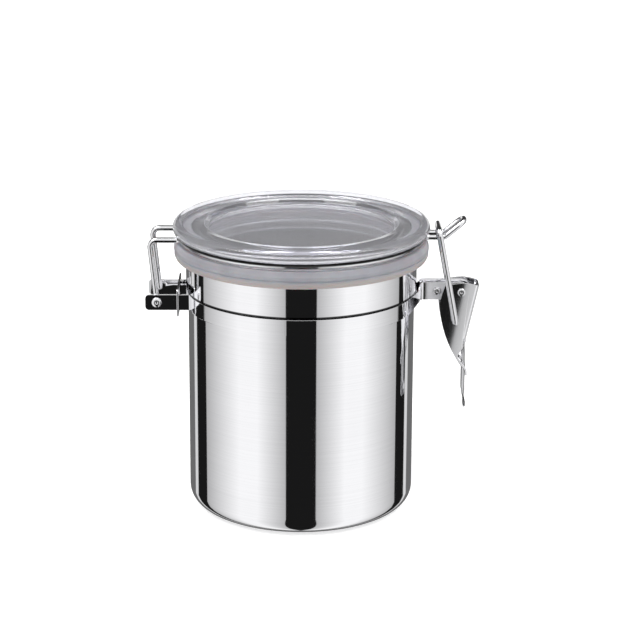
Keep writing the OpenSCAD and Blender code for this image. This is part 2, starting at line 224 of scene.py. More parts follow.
# %% Sockets that can be added and multiplied
class Channel:
    """A number that varies over the surface: the output socket of a node."""

    def __init__(self, finish, socket):
        self.finish, self.socket = finish, socket

    def maths(self, operation, other, flip=False):
        """Adds one Math node between this and another value, or between the other and this."""
        a, b = (other, self) if flip else (self, other)
        return self.finish.node("ShaderNodeMath", {"operation": operation}, [a, b])

    def __add__(self, other):
        return self.maths("ADD", other)

    def __sub__(self, other):
        return self.maths("SUBTRACT", other)

    def __rsub__(self, other):
        return self.maths("SUBTRACT", other, flip=True)

    def __mul__(self, other):
        return self.maths("MULTIPLY", other)

    def __abs__(self):
        return self.finish.node("ShaderNodeMath", {"operation": "ABSOLUTE"}, [self])

    def at_most(self, limit):
        return self.maths("MINIMUM", limit)

    def at_least(self, limit):
        return self.maths("MAXIMUM", limit)

    __radd__ = __add__
    __rmul__ = __mul__


class Finish:
    """A material with one surface shader, and the nodes that feed it."""

    def __init__(self, name, **constants):
        self.material = bpy.data.materials.new(name)
        self.material.use_nodes = True
        self.tree = self.material.node_tree
        self.shader = self.tree.nodes["Principled BSDF"]
        for socket, value in constants.items():
            self.shader.inputs[socket.replace("_", " ")].default_value = value
        self.place = self.node("ShaderNodeTexCoord", {}, [], output="Object")

    def node(self, kind, settings, inputs, output=0):
        """Makes a node, sets it up, fills its sockets with values or links, and wraps one output."""
        made = self.tree.nodes.new(kind)
        for name, value in settings.items():
            if name == "stops":
                made.color_ramp.elements[0].position = value[0][0]
                made.color_ramp.elements[1].position = value[-1][0]
                for position, _ in value[1:-1]:
                    made.color_ramp.elements.new(position)
                for element, (_, shade) in zip(made.color_ramp.elements, value):
                    element.color = (*shade, 1)
            else:
                setattr(made, name, value)
        pairs = inputs.items() if isinstance(inputs, dict) else enumerate(inputs)
        for socket, value in pairs:
            if isinstance(value, Channel):
                self.tree.links.new(value.socket, made.inputs[socket])
            else:
                made.inputs[socket].default_value = value
        return Channel(self, made.outputs[output])

    def stretched(self, x, y, z):
        """The place on the object, in metres, stretched so that one unit is 1/x, 1/y or 1/z."""
        return self.node("ShaderNodeMapping", {}, {"Vector": self.place, "Scale": (x, y, z)})

    def axis(self, name):
        """One coordinate of the place on the object, in metres."""
        return self.node("ShaderNodeSeparateXYZ", {}, [self.place], output=name)

    def ray(self, kind):
        """1 for this kind of ray, such as Camera or Glossy, and 0 for any other."""
        return self.node("ShaderNodeLightPath", {}, [], output="Is " + kind + " Ray")

    def fade(self, value, low, high):
        """Rises from 0 at low to 1 at high."""
        return self.node("ShaderNodeMapRange", {}, {"Value": value, "From Min": low, "From Max": high})

    def noise(self, vector, scale=1, detail=3, roughness=0.5):
        """A cloudy pattern from 0 to 1."""
        return self.node("ShaderNodeTexNoise", {}, {
            "Vector": vector, "Scale": scale, "Detail": detail, "Roughness": roughness})

    def ramp(self, value, stops):
        """A colour for each value, from stops of (position, colour)."""
        return self.node("ShaderNodeValToRGB", {"stops": stops}, [value])

    def mix(self, factor, low, high):
        """Goes from one colour to another as the factor rises from 0 to 1."""
        return self.node("ShaderNodeMix", {"data_type": "RGBA"}, {0: factor, 6: low, 7: high}, output=2)

    def feed(self, **channels):
        """Links channels to the surface shader's sockets by name."""
        for socket, channel in channels.items():
            self.tree.links.new(channel.socket, self.shader.inputs[socket.replace("_", " ")])

    def bump(self, height, strength, depth):
        """Turns a height into a slight relief of the given depth in metres."""
        self.feed(Normal=self.node("ShaderNodeBump", {}, {
            "Height": height, "Strength": strength, "Distance": depth}))


def wear(piece, finish):
    """Gives a piece one finish all over."""
    piece.data.materials.clear()
    piece.data.materials.append(finish.material)


# %% [markdown]
# ## Steel
# Stainless sheet for a canister is bought polished and buffed to a mirror, and its colour is all
# reflection: a metallic shader, a light grey base and very little roughness. A perfect mirror looks
# false, because buffing leaves faint rings round the cup and handling leaves hazy patches. So the
# roughness is mixed from a noise squeezed into thin rings and a broad, soft one, and the same
# rings give a relief of a fraction of a micrometre.


# %% Polished, pressed and drawn steel
COOL = (1.0, 1.0, 1.02)


def steel(name, shade, roughness, squeeze, haze, relief):
    """A metal whose polishing lines run across the direction in which the noise is squeezed."""
    finish = Finish(name, Metallic=1.0, IOR=2.5)
    lines = finish.noise(finish.stretched(*squeeze), detail=4, roughness=0.6)
    patches = finish.noise(finish.place, scale=38, detail=3)
    smudge = finish.ramp(patches, [(0.42, (0, 0, 0)), (0.72, (1, 1, 1))])
    finish.roughness = roughness + lines * haze + smudge * haze
    finish.feed(Roughness=finish.roughness)
    low = [shade * channel * 0.95 for channel in COOL]
    high = [shade * channel for channel in COOL]
    finish.colour = finish.ramp(lines * 0.6 + patches * 0.4, [(0.35, low), (0.6, high)])
    finish.feed(Base_Color=finish.colour)
    finish.bump(lines, 0.25, relief)
    return finish


mirror_steel = steel("mirror_steel", 0.94, 0.015, (12, 12, 2600), 0.03, 0.0000006)
strap_steel = steel("strap_steel", 0.94, 0.02, (12, 12, 2600), 0.03, 0.0000006)
lever_steel = steel("lever_steel", 0.90, 0.07, (900, 60, 240), 0.05, 0.000002)
wire_steel = steel("wire_steel", 0.82, 0.05, (1500, 1500, 1500), 0.07, 0.0000015)
rivet_steel = steel("rivet_steel", 0.74, 0.10, (2200, 2200, 2200), 0.12, 0.000003)

# A dark band is painted into the steel's colour at the step under the neck: painted shade for the shadowed
# gap between the strap and the step.
STEP_SHADE_STARTS, STEP_SHADE_ENDS = (0.0832, 0.0834), (0.0843, 0.0846)
height = mirror_steel.axis("Z")
painted_step_shade = mirror_steel.fade(height, *STEP_SHADE_STARTS) - mirror_steel.fade(height, *STEP_SHADE_ENDS)
mirror_steel.feed(Base_Color=mirror_steel.mix(painted_step_shade, mirror_steel.colour, (0.03, 0.03, 0.03, 1)))

# Where the lid's wire lies in the groove under the crown, its upper side is painted dark: painted shade for
# the shadowed groove.
GROOVE_SHADE_WITHIN, GROOVE_SHADE_ABOVE = (0.0469, 0.0467), (0.1038, 0.1041)
from_axis = wire_steel.node("ShaderNodeVectorMath", {"operation": "LENGTH"},
                            {0: wire_steel.stretched(1, 1, 0)}, output=1)
painted_groove_shade = wire_steel.fade(from_axis, *GROOVE_SHADE_WITHIN) * wire_steel.fade(wire_steel.axis("Z"), *GROOVE_SHADE_ABOVE)
wire_steel.feed(Base_Color=wire_steel.mix(painted_groove_shade, wire_steel.colour, (0.02, 0.02, 0.02, 1)))

# The ears at the latch are only tumbled: their grain is coarse and their shine is soft.
EAR_STARTS, EAR_OUTSIDE = (0.0455, 0.0475), (0.00255, 0.0026)
aside = abs(strap_steel.axis("Y"))
tumbled = strap_steel.fade(strap_steel.axis("X"), *EAR_STARTS) * strap_steel.fade(aside, *EAR_OUTSIDE)
pits = strap_steel.noise(strap_steel.place, scale=1400, detail=2)
strap_steel.feed(Roughness=strap_steel.roughness + tumbled * 0.6 + tumbled * (pits * 0.2))

# The flanges of the lever are pressed slightly domed, about a line that leans with the belly. Their
# mesh is flat, and this relief alone gives the dome.
DOME_X, DOME_Z, DOME_LEAN, DOME_CURVE = 0.0546, 0.075, 0.21, -10
across = lever_steel.axis("X") - DOME_X - (lever_steel.axis("Z") - DOME_Z) * DOME_LEAN
on_flange = lever_steel.fade(abs(lever_steel.axis("Y")), 0.0045, 0.0046)
lever_steel.bump(across * across * DOME_CURVE * on_flange, 1.0, 1.0)
print("steels:", [f.material.name for f in (mirror_steel, strap_steel, lever_steel, wire_steel, rivet_steel)])

# %% [markdown]
# ## Clear and milky plastics
# The lid is an injection-moulded acrylic or styrene: clear with a cold grey cast, glossy, with
# faint flow marks. Transmission and an index of refraction of 1.49 do most of it, and a weight a
# little under 1 leaves the slight haze of moulded plastic. The seal is silicone rubber, which
# scatters light inside: milky, warmer in its thin lower roll, satin rather than glossy, and dust
# settles in its skin.


# %% Acrylic and silicone
def acrylic():
    """Clear moulded plastic with flow marks and fine scratches."""
    finish = Finish("clear_acrylic", Transmission_Weight=0.88, IOR=1.49)
    flow = finish.noise(finish.stretched(30, 30, 160), detail=4, roughness=0.55)
    specks = finish.noise(finish.place, scale=900, detail=2)
    scratches = finish.ramp(specks, [(0.62, (0, 0, 0)), (0.75, (1, 1, 1))])
    finish.feed(Base_Color=finish.ramp(flow, [(0.3, (0.88, 0.88, 0.93)), (0.7, (0.95, 0.95, 0.98))]))
    finish.feed(Roughness=0.015 + flow * 0.03 + scratches * 0.05)
    finish.bump(flow, 0.3, 0.00002)
    return finish


LOWER_ROLL = (0.0984, 0.0974)


def silicone():
    """Milky rubber with cloudy colour, mould rings and dust."""
    finish = Finish("milky_silicone", Transmission_Weight=0.35, IOR=1.41, Subsurface_Weight=0.35,
                    Subsurface_Scale=0.004)
    cloud = finish.noise(finish.place, scale=120, detail=4)
    rings = finish.noise(finish.stretched(20, 20, 1400), detail=3)
    dust = finish.ramp(finish.noise(finish.place, scale=1500, detail=2), [(0.6, (0, 0, 0)), (0.8, (1, 1, 1))])
    tint = finish.ramp(cloud * 0.7 + rings * 0.3, [(0.3, (0.42, 0.42, 0.46)), (0.7, (0.56, 0.56, 0.60))])
    warm = finish.fade(finish.axis("Z"), *LOWER_ROLL)
    finish.feed(Base_Color=finish.mix(warm, tint, (0.56, 0.52, 0.51, 1)))
    finish.feed(Roughness=0.28 + rings * 0.12 + dust * 0.15)
    finish.bump(rings + dust * 0.3, 0.3, 0.00002)
    return finish


clear_acrylic = acrylic()
milky_silicone = silicone()
print("plastics:", clear_acrylic.material.name, milky_silicone.material.name)

# %% [markdown]
# ## The cup
# The cup is one disc of steel drawn down into a can: a flat bottom with a generous corner, straight
# walls, a small step where the neck is widened, and a rim that is rolled over so that it can't cut.
# A lathe suits it, because everything runs round. The outline walks up the outside, round the roll,
# and down the inside, and one spin of 192 steps closes it. A mirror shows every flat, so the
# corners are rounded with many short edges, and the spin is fine.

# %% Sizes of the cup, from the frame
cup_low, cup_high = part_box("canister_body")
RIM_Z = cup_high.z / MM
STEP_Z, STEP_H = RIM_Z - 14.6, 0.55
CUP_R, WALL, CORNER, ROLL = 42.2, 0.5, 6.5, 0.9
NECK = CUP_R + 0.8
BASE_R, BASE_UP = 30, 0.35
print("cup radius", CUP_R, "step at", round(STEP_Z, 2), "rim at", round(RIM_Z, 2),
      "outermost", round(cup_high.x / MM, 2))

# %% Draw and spin the cup
roll_x, roll_z = NECK - WALL + ROLL, RIM_Z - ROLL
outside = rounded([(0, BASE_UP, 0), (BASE_R, BASE_UP, 0.5), (BASE_R + 0.6, 0, 0.4), (CUP_R, 0, CORNER),
                   (CUP_R, STEP_Z, 0.25), (NECK, STEP_Z + STEP_H, 0.35), (NECK, roll_z - 0.4, 0)])
roll = [Vector((roll_x + ROLL * math.cos(a), roll_z + ROLL * math.sin(a)))
        for a in (math.radians(-55 + 13 * i) for i in range(19))]
inside = rounded([(NECK - WALL, roll_z - 0.6, 0), (NECK - WALL, STEP_Z + STEP_H, 0.35),
                  (CUP_R - WALL, STEP_Z, 0.25), (CUP_R - WALL, WALL, CORNER - WALL),
                  (BASE_R + 1, WALL, 0.4), (BASE_R + 0.4, WALL + BASE_UP, 0.4), (0, WALL + BASE_UP, 0)])
lathe("cup", outside + roll + inside)
cup = finish_piece("canister", ["canister_body"], smooth_below=50)
wear(cup, mirror_steel)

# %% [markdown]
# ## The lid
# The lid is one clear moulding: a sunk middle, a fat crown round it, a groove that grips the wire,
# a thin flange under the groove, and a hub that plugs the neck and holds the seal. Clear plastic is
# a hard test, because light passes through every face. The outline is drawn all the way round the
# section, inside and out, so that the moulding is one closed solid and bends the light as the real
# one does.

# %% Sizes of the lid, from the frame and the cup
lid_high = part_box("lid_cover")[1]
CREST, CROWN_R, CROWN_ROUND = lid_high.z / MM, lid_high.x / MM, 2.5
SUNK_TOP, SUNK_LOW = CREST - 2.9, CREST - 4.9
SEAL_Z, PLUG_LOW = RIM_Z + 0.3, RIM_Z - 3
FLANGE_LOW, FLANGE_TOP, CROWN_LOW = SEAL_Z + 2.9, SEAL_Z + 4.2, SEAL_Z + 6.8
BORE_R, PLUG_R, HUB_R, SEAT_R, GROOVE_R, FLANGE_R = 36, 38, 41, 41.5, 43.9, 44.6
print("lid crest at", round(CREST, 2), "groove from", round(FLANGE_TOP, 2), "to", round(CROWN_LOW, 2))

# %% Draw and spin the lid
crown_x, crown_z = CROWN_R - CROWN_ROUND, CREST - CROWN_ROUND
crown = [(crown_x + CROWN_ROUND * math.cos(a), crown_z + CROWN_ROUND * math.sin(a), 0)
         for a in (math.radians(-52 + 142 * i / 16) for i in range(17))]
lid_outline = rounded(
    [(0, SUNK_LOW, 0), (BORE_R, SUNK_LOW, 1.2), (BORE_R, PLUG_LOW, 0.8), (PLUG_R, PLUG_LOW, 0.8),
     (PLUG_R, SEAL_Z, 0.6), (SEAT_R, SEAL_Z, 0.2), (SEAT_R, SEAL_Z + 0.9, 0.2), (HUB_R, SEAL_Z + 0.9, 0.15),
     (HUB_R, FLANGE_LOW, 0.3), (FLANGE_R, FLANGE_LOW, 0.25), (FLANGE_R, FLANGE_TOP, 0.35),
     (GROOVE_R, FLANGE_TOP, 0.2), (GROOVE_R, CROWN_LOW, 0.5)]
    + crown + [(38.8, CREST - 0.4, 6), (BORE_R, CREST - 0.8, 0.7), (34.6, SUNK_TOP, 0.9), (0, SUNK_TOP, 0)])
lathe("lid", lid_outline)
lid = finish_piece("lid", ["lid_cover"], smooth_below=60)
wear(lid, clear_acrylic)

# %% [markdown]
# ## The seal
# The seal is a soft ring that wraps the flange of the lid and lies on the rim of the cup. Its outer
# face bulges in two rolls with a crease between them, where the two halves of its mould meet. It is
# spun like the lid, from a section with the crease drawn in.

# %% Draw and spin the seal
GAP = 0.05  # the clearance between parts that lie on each other
seal_top, skirt_low, SKIRT_R = SEAL_Z + 4.05, SEAL_Z - 2.4, 44.9
slot_low, lip_top = FLANGE_LOW - GAP, SEAL_Z + 0.95
seal_outline = rounded(
    [(HUB_R + GAP, slot_low, 0), (HUB_R + GAP, lip_top, 0.1), (SEAT_R + GAP, lip_top, 0.1),
     (SEAT_R + GAP, SEAL_Z, 0.2), (SKIRT_R, SEAL_Z, 0.3), (SKIRT_R, skirt_low, 0.5),
     (46.55, skirt_low + 0.05, 0.5), (47.25, SEAL_Z - 1.0, 1.6), (47.15, SEAL_Z + 0.15, 0.8),
     (46.85, SEAL_Z + 0.4, 0.25), (47.35, SEAL_Z + 0.75, 0.6), (47.3, SEAL_Z + 2.1, 1.5),
     (46.5, seal_top, 0.7), (FLANGE_R + GAP, seal_top, 0.2), (FLANGE_R + GAP, slot_low, 0.2),
     (HUB_R + GAP, slot_low, 0)])
lathe("seal", seal_outline)
seal = finish_piece("lid", ["lid_gasket"], smooth_below=60)
wear(seal, milky_silicone)

# %% [markdown]
# ## Bent wire
# The lid's wire and the bail are made in a wire bender: wire is fed out straight, then turned round
# a peg, again and again. The same moves work on a mesh. A circle is extruded along each straight
# stretch, and at each bend it is spun round the centre of the bend. Both wires are the same on
# their two sides, so half of each is bent and a Mirror modifier adds the rest.


# %% The wire bender
def turn_at(before, corner, after, r):
    """The start, centre, axis and angle of a bend of radius r at a corner of a route, in mm."""
    before, corner, after = Vector(before), Vector(corner), Vector(after)
    to_before, to_after = (before - corner).normalized(), (after - corner).normalized()
    half = to_before.angle(to_after) / 2
    centre = corner + (to_before + to_after).normalized() * r / math.sin(half)
    start = corner + to_before * r / math.tan(half)
    return start, centre, to_after.cross(to_before).normalized(), math.pi - 2 * half


def feed_to(point):
    """Extrudes the open end of the wire straight to a point, in mm."""
    mesh = bmesh.from_edit_mesh(bpy.context.object.data)
    end = [v.co for v in mesh.verts if v.select]
    here = sum(end, Vector()) / len(end)
    there = Vector(point) * MM
    if (there - here).length > 0.00001:
        bpy.ops.mesh.extrude_region_move(TRANSFORM_OT_translate={"value": there - here})


STEP_ANGLE = 7.5


def bend_wire(name, diameter, route, sides=20):
    """Bends half a wire along a route of points and of (start, centre, axis, angle) turns, in mm."""
    clear_selection()
    first = Vector(route[0])
    second = Vector(route[1][0] if len(route[1]) == 4 else route[1])
    facing = (second - first).to_track_quat("Z", "Y").to_euler()
    bpy.ops.mesh.primitive_circle_add(vertices=sides, radius=diameter / 2 * MM, location=first * MM,
                                      rotation=facing)
    start_piece(name)
    for stop in route[1:]:
        if len(stop) == 3:
            feed_to(stop)
            continue
        start, centre, axis, angle = stop
        feed_to(start)
        steps = max(3, round(math.degrees(angle) / STEP_ANGLE))
        bpy.ops.mesh.spin(steps=steps, angle=-angle, center=Vector(centre) * MM, axis=axis)
    modify("MIRROR", use_axis=(False, True, False), merge_threshold=0.00002)
    weld()
    bpy.ops.mesh.fill_holes(sides=sides)
    point_outwards()


# %% [markdown]
# ## The lid's wire
# One wire does three jobs: its ends turn in the hinge ears, its middle runs in the groove of the
# lid, and at the latch it is folded into a narrow hook that the bail pulls down. The route is given
# for the near half, from the hinge to the middle of the hook.

# %% Where the frame has its joints
def joint_place(name):
    """The place of a joint of the frame, in mm."""
    return Vector(next(j for j in frame["joints"] if j["name"] == name)["pos_m"]) / MM


hinge, pin = joint_place("lid_hinge"), joint_place("lever_pivot")
print("hinge at", [round(v, 2) for v in hinge], "latch pin at", [round(v, 2) for v in pin])

# %% Route and bend the lid's wire
WIRE_D, BEND_R = 2.1, 2.5
WIRE_Z = FLANGE_TOP + 1.3
RING_R = GROOVE_R + GAP + WIRE_D / 2
WIRE_END_Y, END_R, LEG_Y, LEG_LEAN = 10.7, 1.25, 8.8, math.radians(6)
STRAND_Y, STRAND_LENGTH, HOOK_LENGTH, HOOK_SLOPE = 3.3, 8, 9.4, math.radians(40)
wire_end = (hinge.x, -WIRE_END_Y, hinge.z)
leg_top = Vector((hinge.x - (WIRE_Z - hinge.z) * math.tan(LEG_LEAN), -LEG_Y, WIRE_Z))
leg_foot = Vector((hinge.x, -LEG_Y, hinge.z))


def ring_turn(lane, start_x):
    """Where the ring meets a straight lane at y = -lane: the fillet's centre and its angles."""
    x = math.sqrt((RING_R + BEND_R) ** 2 - (lane + BEND_R) ** 2)
    angle = math.asin((lane + BEND_R) / (RING_R + BEND_R))
    return Vector((start_x * x, -lane - BEND_R, WIRE_Z)), angle


leg_centre, leg_angle = ring_turn(LEG_Y, -1)
strand_centre, strand_angle = ring_turn(STRAND_Y, 1)
up, down = Vector((0, 0, 1)), Vector((0, 0, -1))
hook_start = Vector((RING_R + STRAND_LENGTH, -STRAND_Y, WIRE_Z))
hook_tip = hook_start + Vector((math.cos(HOOK_SLOPE), 0, math.sin(HOOK_SLOPE))) * HOOK_LENGTH
hook_r = STRAND_Y - 0.4
lid_route = [
    wire_end,
    turn_at(wire_end, leg_foot, leg_top, END_R),
    turn_at(leg_foot, leg_top, (-RING_R, -LEG_Y, WIRE_Z), BEND_R),
    (leg_centre + Vector((0, BEND_R, 0)), leg_centre, down, math.pi / 2 - leg_angle),
    (Vector((-math.cos(leg_angle), -math.sin(leg_angle), 0)) * RING_R + Vector((0, 0, WIRE_Z)),
     Vector((0, 0, WIRE_Z)), up, math.pi - leg_angle - strand_angle),
    (Vector((math.cos(strand_angle), -math.sin(strand_angle), 0)) * RING_R + Vector((0, 0, WIRE_Z)),
     strand_centre, down, math.pi / 2 - strand_angle),
    turn_at((RING_R, -STRAND_Y, WIRE_Z), hook_start, hook_tip, BEND_R),
    turn_at(hook_start, hook_tip, hook_tip + Vector((0, STRAND_Y, 0)), hook_r),
    (hook_tip.x, 0, hook_tip.z)]
bend_wire("lid_wire_bent", WIRE_D, lid_route)
lid_wire = finish_piece("lid", ["lid_wire"], smooth_below=60)
wear(lid_wire, wire_steel)

# %% [markdown]
# ## Heads, rivets, pins and spacers
# The wire ends are upset into small round heads outside the hinge ears, a rivet clamps the latch
# ears together, and a pin carries the lever. All of them are turned shapes on an axis across the
# canister, so the lathe makes them too, this time round Y. Each head is domed with a shallow
# dimple, as a riveting punch leaves it.

# %% Heads on the wire ends
def turned(name, x, z, outline, body, finish, stands_for=()):
    """Spins a small part round an axis across the canister, and dresses it."""
    lathe(name, outline, steps=48, axis="Y", centre=(x, 0, z))
    piece = finish_piece(body, stands_for, smooth_below=50)
    wear(piece, finish)


def punched_head(radius, start, thickness, way, shank=0.0):
    """Half a section of a riveted head that starts at y = start and grows in the given way."""
    top = start + way * thickness
    return rounded([(shank, start, 0), (radius, start, 0.08), (radius, start + way * thickness * 0.45, 0.2),
                    (radius * 0.62, top, radius * 0.5), (radius * 0.34, top, 0.15),
                    (radius * 0.2, top - way * 0.12, 0.1), (0, top - way * 0.14, 0)], steps=5)


HEAD_Y = 10.6
for side, word in ((-1, "front"), (1, "back")):
    head = [(0, side * HEAD_Y)] + punched_head(1.8, side * HEAD_Y, 0.7, side)
    turned("wire_head_" + word, hinge.x, hinge.z, head, "lid", wire_steel)


# %% The clamp rivet, the latch pin and their spacers
def two_headed(radius, reach, thickness, shank, between=()):
    """Half a section of a pin whose heads start at this reach on either side of y = 0."""
    near, far = (punched_head(radius, way * reach, thickness, way, shank) for way in (-1, 1))
    return near[::-1] + list(between) + far


rivet_x, ear_y, lever_y = pin.x - 9, 2.75, 4.8
turned("rivet", rivet_x, pin.z, two_headed(1.55, ear_y + GAP, 0.7, 1.0),
       "canister", rivet_steel, ["clamp_rivet"])
SHANK_R, SHOULDER_R, SHOULDER_Y = 1.1, 1.6, 3.95
shoulders = [(SHANK_R, -SHOULDER_Y), (SHOULDER_R, -SHOULDER_Y),
             (SHOULDER_R, SHOULDER_Y), (SHANK_R, SHOULDER_Y)]
turned("pivot_pin", pin.x, pin.z, two_headed(1.5, lever_y + GAP, 0.4, SHANK_R, shoulders),
       "lever", rivet_steel, ["latch_pin"])
SLEEVE_R = 2


def sleeve(name, x, low, high, bore, body, stands_for):
    """A short tube round a pin."""
    middle = (low + high) / 2
    outline = rounded([(bore, middle, 0), (bore, low, 0.1), (SLEEVE_R, low, 0.15), (SLEEVE_R, high, 0.15),
                       (bore, high, 0.1), (bore, middle, 0)], steps=3)
    turned(name, x, pin.z, outline, body, rivet_steel, stands_for)


sleeve("ear_spacer", rivet_x, 0.5 - ear_y, ear_y - 0.5, 1.05, "canister", ["clamp_spacer"])
sleeve("pin_spacer_front", pin.x, -3.8, -2.95, 1.65, "lever", ["latch_spacers"])
sleeve("pin_spacer_back", pin.x, 2.95, 3.8, 1.65, "lever", [])

# %% [markdown]
# ## The bail
# The bail is a hoop of wire with a square top: its cross wire rides over the strands of the hook,
# and its two ends turn inward through the flanges of the lever. It is bent by the same wire bender.

# %% Bend the bail
bail_pivot = joint_place("bail_pivot")
BAIL_D, BAIL_END_Y, BAIL_END_R, BAIL_BACK, BAIL_OVER = 2.3, 3.1, 1.3, 8.8, 3.2
BAIL_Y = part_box("toggle_bail")[1].y / MM - BAIL_D / 2
bail_foot = Vector((bail_pivot.x, -BAIL_Y, bail_pivot.z))
bail_head = Vector((pin.x - BAIL_BACK, -BAIL_Y, WIRE_Z + BAIL_OVER))
bail_route = [
    (bail_pivot.x, -BAIL_END_Y, bail_pivot.z),
    turn_at((bail_pivot.x, 0, bail_pivot.z), bail_foot, bail_head, BAIL_END_R),
    turn_at(bail_foot, bail_head, bail_head + Vector((0, BAIL_Y, 0)), BEND_R),
    (bail_head.x, 0, bail_head.z)]
bend_wire("bail", BAIL_D, bail_route)
bail = finish_piece("bail", ["toggle_bail"], smooth_below=60)
wear(bail, wire_steel)

# %% [markdown]
# ## Sheet metal
# The strap, the tie plate and the lever are pressed from thin sheet. A sheet part starts as a
# surface without thickness, cut and folded in edit mode. Solidify then gives it its gauge, a fine
# Bevel breaks its edges as tumbling does, and a Boolean drills it with a plain cylinder.


# %% Gauge, edges and holes
def gauge(thickness, edge):
    """Thickens the open sheet by half to each side and breaks its edges, all in mm."""
    modify("SOLIDIFY", thickness=thickness * MM, offset=0.0, use_even_offset=True)
    modify("BEVEL", width=edge * MM, segments=2, limit_method="ANGLE", angle_limit=math.radians(50),
           harden_normals=False)


def drill(x, z, diameter, length=40):
    """Drills across the canister through the open piece."""
    bpy.ops.object.mode_set(mode="OBJECT")
    piece = bpy.context.object
    clear_selection()
    bpy.ops.mesh.primitive_cylinder_add(vertices=48, radius=diameter / 2 * MM, depth=length * MM,
                                        location=(x * MM, 0, z * MM), rotation=(math.pi / 2, 0, 0))
    bit = bpy.context.object
    bpy.context.view_layer.objects.active = piece
    modify("BOOLEAN", object=bit, operation="DIFFERENCE", solver="EXACT")
    bpy.data.objects.remove(bit)


def extrude_upright(x, y, low, high):
    """Extrudes the selected upright edge to a new place and a new height, all in mm."""
    mesh = bmesh.from_edit_mesh(bpy.context.object.data)
    ends = sorted((v.co.copy() for v in mesh.verts if v.select), key=lambda co: co.z)
    middle = (ends[0] + ends[-1]) / 2
    target = Vector((x, y, (low + high) / 2)) * MM
    bpy.ops.mesh.extrude_region_move(TRANSFORM_OT_translate={"value": target - middle})
    stretch = (high - low) * MM / (ends[-1].z - ends[0].z)
    bpy.ops.transform.resize(value=(1, 1, stretch), center_override=target)


# %% [markdown]
# ## The neck strap
# Two half straps hug the cup under its step. On the hinge side their ends stand out as flat ears
# with a hole for the wire; on the latch side they run together into a pair of ears that carry the
# lever. One half is folded from a single upright edge: in along the hinge ear, round the cup by a
# spin, along the gusset and out to the latch. The other half is its mirror image.

# %% Fold one half of the strap
STRAP_T, STRAP_H = 0.5, 5.9
STRAP_R = CUP_R + GAP + STRAP_T / 2
strap_high = STEP_Z - GAP
strap_low = strap_high - STRAP_H
hinge_ear_y, latch_ear_y = 10.3, 2.5
root_x = CUP_R + 2.4
root_d = math.hypot(root_x, latch_ear_y)
gusset_angle = -math.atan2(latch_ear_y, root_x) - math.acos(STRAP_R / root_d)
gusset = Vector((math.cos(gusset_angle), math.sin(gusset_angle))) * STRAP_R
EAR, KNEE = 3.4, 0.75
NEAR = 0.05  # how close a point counts as being at a place
ear_low, ear_high = pin.z - EAR, pin.z + EAR
hinge_end, latch_end = hinge.x - 4.3, pin.x + EAR


def upright_edge(name, x, y, low, high):
    """Starts a sheet from one upright edge, cut from a plane, all in mm."""
    clear_selection()
    bpy.ops.mesh.primitive_plane_add(size=(high - low) * MM, rotation=(math.pi / 2, 0, 0))
    start_piece(name)
    pick("VERT", lambda co, v: co.x > 0)
    bpy.ops.mesh.delete(type="VERT")
    select_everything()
    bpy.ops.transform.translate(value=Vector((x + (high - low) / 2, y, (low + high) / 2)) * MM)


upright_edge("strap_half_front", hinge_end, -hinge_ear_y, strap_low, strap_high)
ear_angle = math.asin(hinge_ear_y / STRAP_R)
extrude_upright(hinge.x + 5, -hinge_ear_y, strap_low, strap_high)
extrude_upright(-STRAP_R * math.cos(ear_angle), -hinge_ear_y, strap_low, strap_high)
bpy.ops.mesh.spin(steps=160, angle=-(math.pi - ear_angle + gusset_angle), center=(0, 0, 0), axis=(0, 0, 1))
knee = gusset.lerp(Vector((root_x, -latch_ear_y)), KNEE)
extrude_upright(knee.x, knee.y, strap_low + KNEE * (ear_low - strap_low), strap_high)
for x in (root_x, root_x + 3, latch_end):
    extrude_upright(x, -latch_ear_y, ear_low, ear_high)
print("strap radius", round(STRAP_R, 2), "from", round(strap_low, 2), "to", round(strap_high, 2), "mm")


# %% Round its corners and folds, then give it its gauge and its holes
def at_x(x):
    """A test for points at one X, in mm."""
    return lambda co, part: abs(co.x / MM - x) < NEAR


pick("VERT", at_x(latch_end))
bpy.ops.mesh.bevel(offset=(EAR - 0.02) * MM, segments=12, affect="VERTICES")
pick("VERT", at_x(hinge_end))
bpy.ops.mesh.bevel(offset=1.4 * MM, segments=5, affect="VERTICES")
pick("EDGE", lambda co, edge: abs(co.x / MM - root_x) < NEAR and abs(co.y / MM + latch_ear_y) < NEAR)
bpy.ops.mesh.bevel(offset=0.9 * MM, segments=4, affect="EDGES")
gauge(STRAP_T, 0.1)
for x, z, hole in ((hinge.x, hinge.z, 2.22), (rivet_x, pin.z, 2.1), (pin.x, pin.z, 3.32)):
    drill(x, z, hole)
point_outwards()
strap_front = finish_piece("canister", ["strap_front"], smooth_below=25)
wear(strap_front, strap_steel)

# %% The other half is a mirror image with its own mesh
clear_selection()
strap_front.select_set(True)
bpy.context.view_layer.objects.active = strap_front
bpy.ops.object.duplicate()
strap_back = bpy.context.object
strap_back.name = strap_back.data.name = "strap_half_back"
del strap_back["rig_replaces"]  # the copy also took over what the first half stands for
bpy.ops.object.mode_set(mode="EDIT")
select_everything()
bpy.ops.transform.resize(value=(1, -1, 1), center_override=(0, 0, 0))
point_outwards()
finish_piece("canister", ["strap_back"], smooth_below=25)

# %% [markdown]
# ## The tie plate
# A small plate with two slots slips over both hinge ears and keeps them apart. It is a plane cut
# by bisecting it along the sides of each slot; the faces in the slots are deleted before the
# plate gets its gauge.

